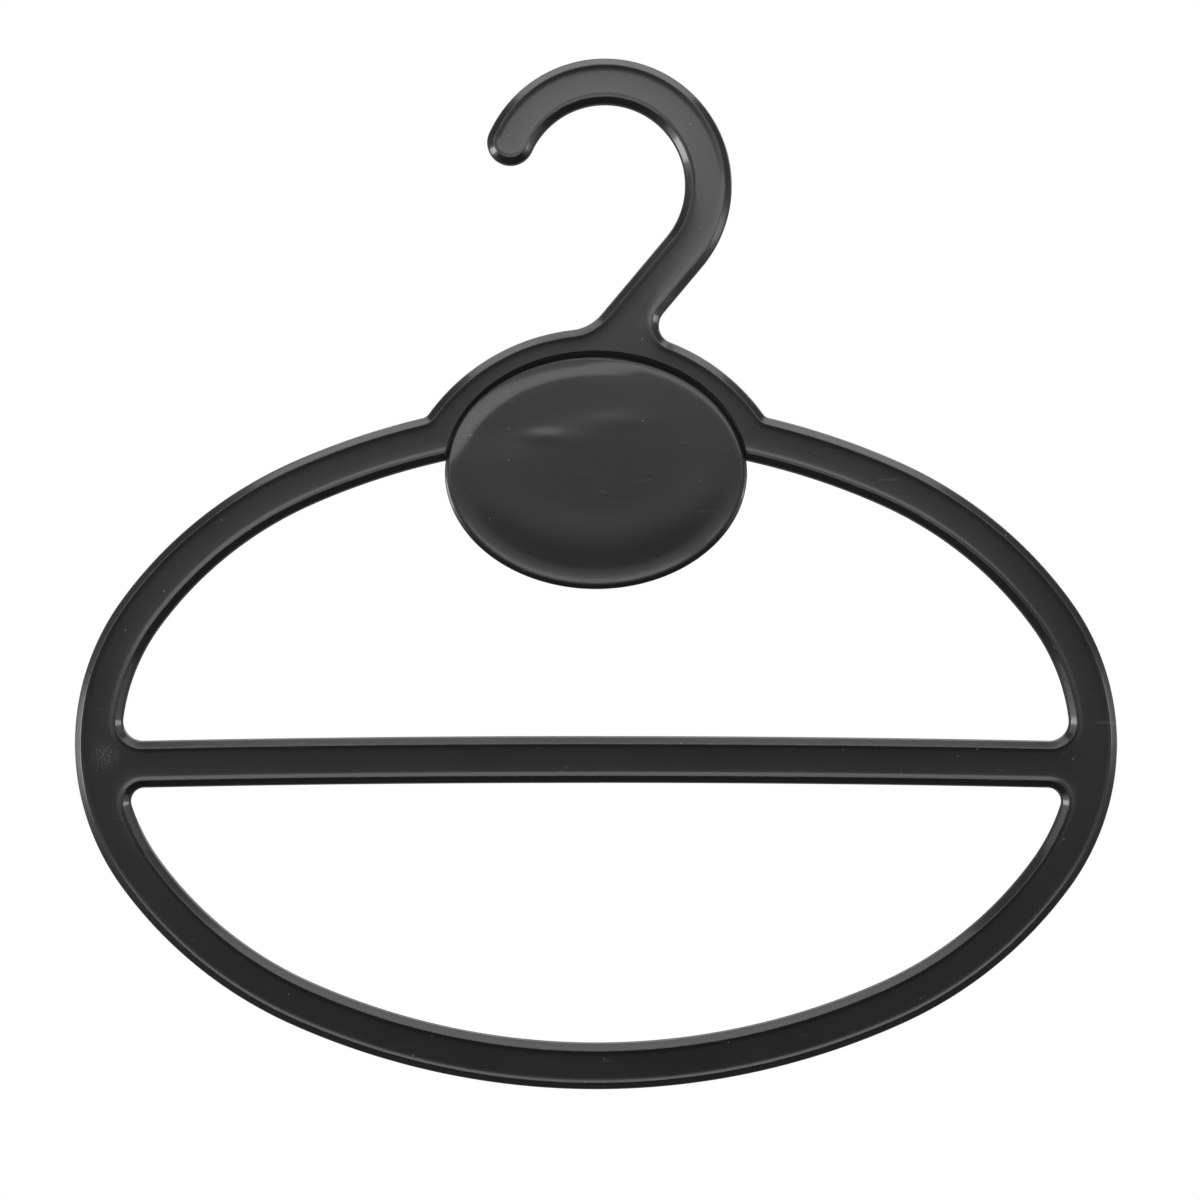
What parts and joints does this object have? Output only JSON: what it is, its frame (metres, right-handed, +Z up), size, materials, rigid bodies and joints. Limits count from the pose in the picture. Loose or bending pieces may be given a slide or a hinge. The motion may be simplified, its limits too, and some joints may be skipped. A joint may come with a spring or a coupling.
{
  "type": "scarf hanger",
  "caption": "Flat black plastic scarf hanger: open hook on a slanted neck, dished oval plate under a brow, big oval with a cross bar.",
  "frame": {"origin": "centre of the hook, where the rail passes, at mid thickness", "axes": "+Z up as it hangs, -Y towards the viewer of the front face, +X to the viewer's right along the oval"},
  "size_m": [0.26, 0.006, 0.2572],
  "materials": {
    "moulding": "satin"
  },
  "bodies": {
    "root": {"hook": "moulding", "neck": "moulding", "brow": "moulding", "plate": "moulding", "upper_left_arm": "moulding", "upper_right_arm": "moulding", "upper_left_corner": "moulding", "upper_right_corner": "moulding", "left_end": "moulding", "right_end": "moulding", "cross_bar": "moulding", "lower_left_corner": "moulding", "lower_right_corner": "moulding", "lower_left_arm": "moulding", "lower_right_arm": "moulding", "lower_bow": "moulding"}
  },
  "joints": []
}
